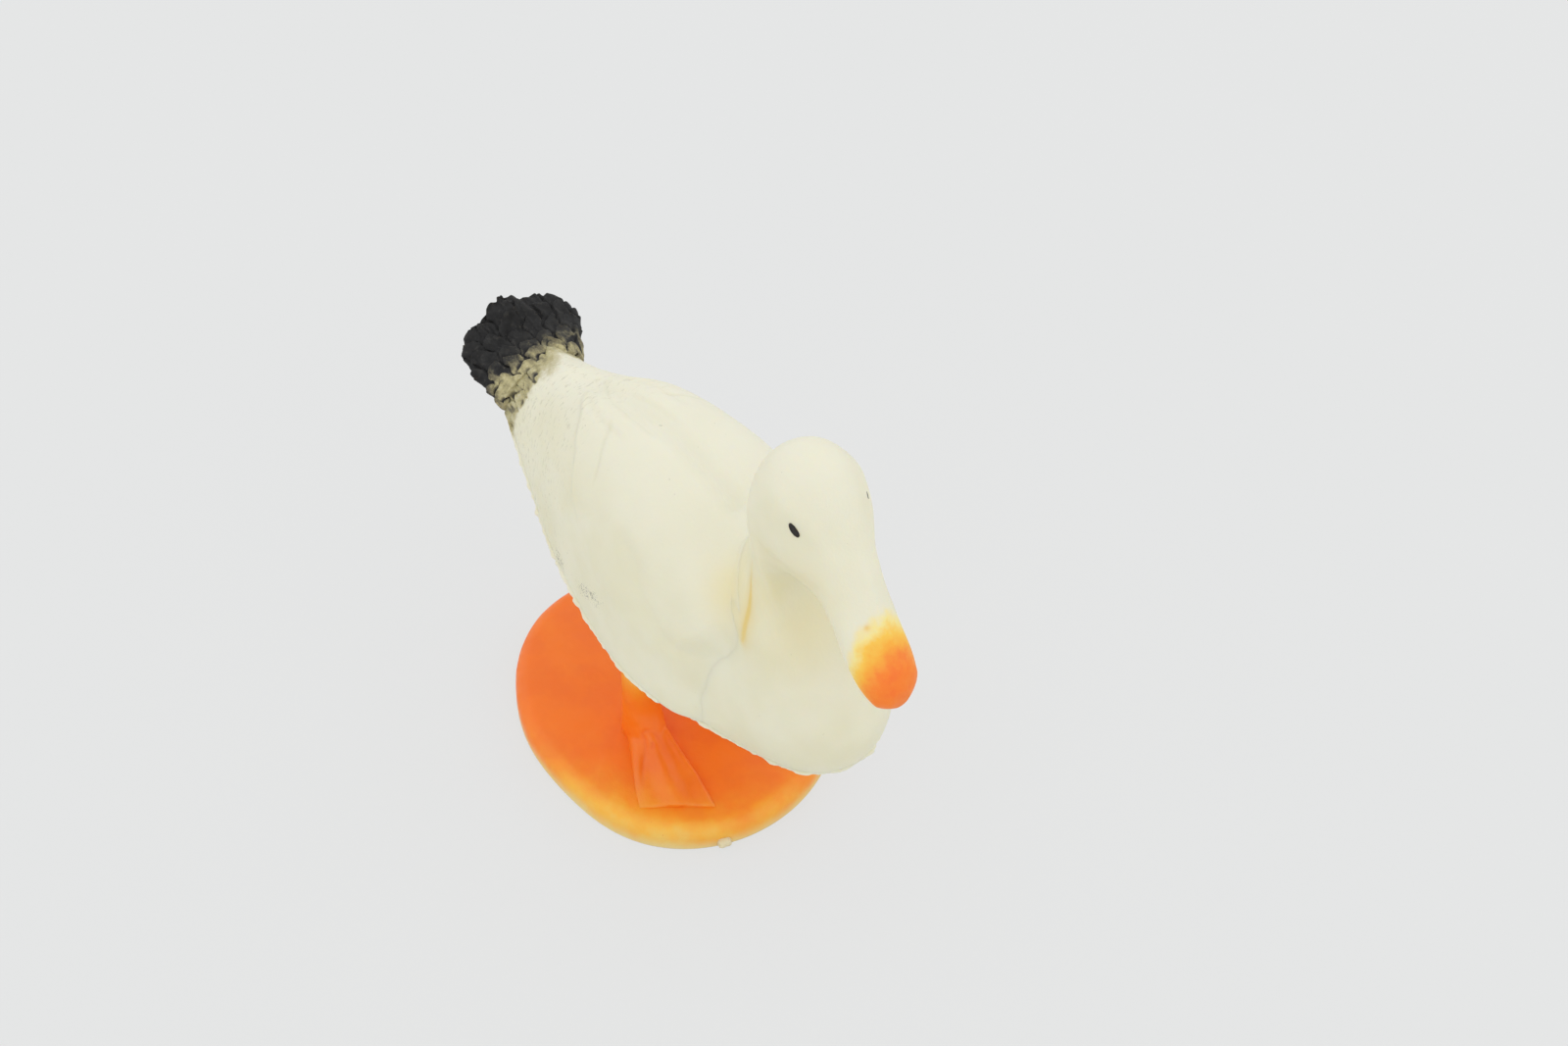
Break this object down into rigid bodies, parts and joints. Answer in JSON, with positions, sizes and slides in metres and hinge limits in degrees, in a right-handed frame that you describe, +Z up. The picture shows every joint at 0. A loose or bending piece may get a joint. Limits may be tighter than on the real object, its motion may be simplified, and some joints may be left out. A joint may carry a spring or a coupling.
{
  "type": "moulded goose figure",
  "caption": "Small moulded white goose standing on an oval orange plinth, with a cocked black tail fan, folded wings, lowered orange-tipped bill and webbed feet.",
  "frame": {"origin": "centre of the plinth's flat underside, where the figure stands", "axes": "+X the way the body faces (the long direction, tail to bill), +Y the bird's left, +Z up; the underside faces -Z"},
  "size_m": [0.0729, 0.0324, 0.0636],
  "materials": {
    "cream_vinyl": "soft translucent moulded vinyl, satin",
    "orange_paint": "sprayed orange paint over cream vinyl",
    "black_paint": "sprayed black paint"
  },
  "bodies": {
    "root": {"plinth": "orange_paint", "leg_right": "orange_paint", "leg_left": "orange_paint", "belly": "cream_vinyl", "back": "cream_vinyl", "breast_head": "cream_vinyl", "tail_fan": "black_paint", "eye_right": "black_paint", "eye_left": "black_paint"}
  },
  "joints": []
}
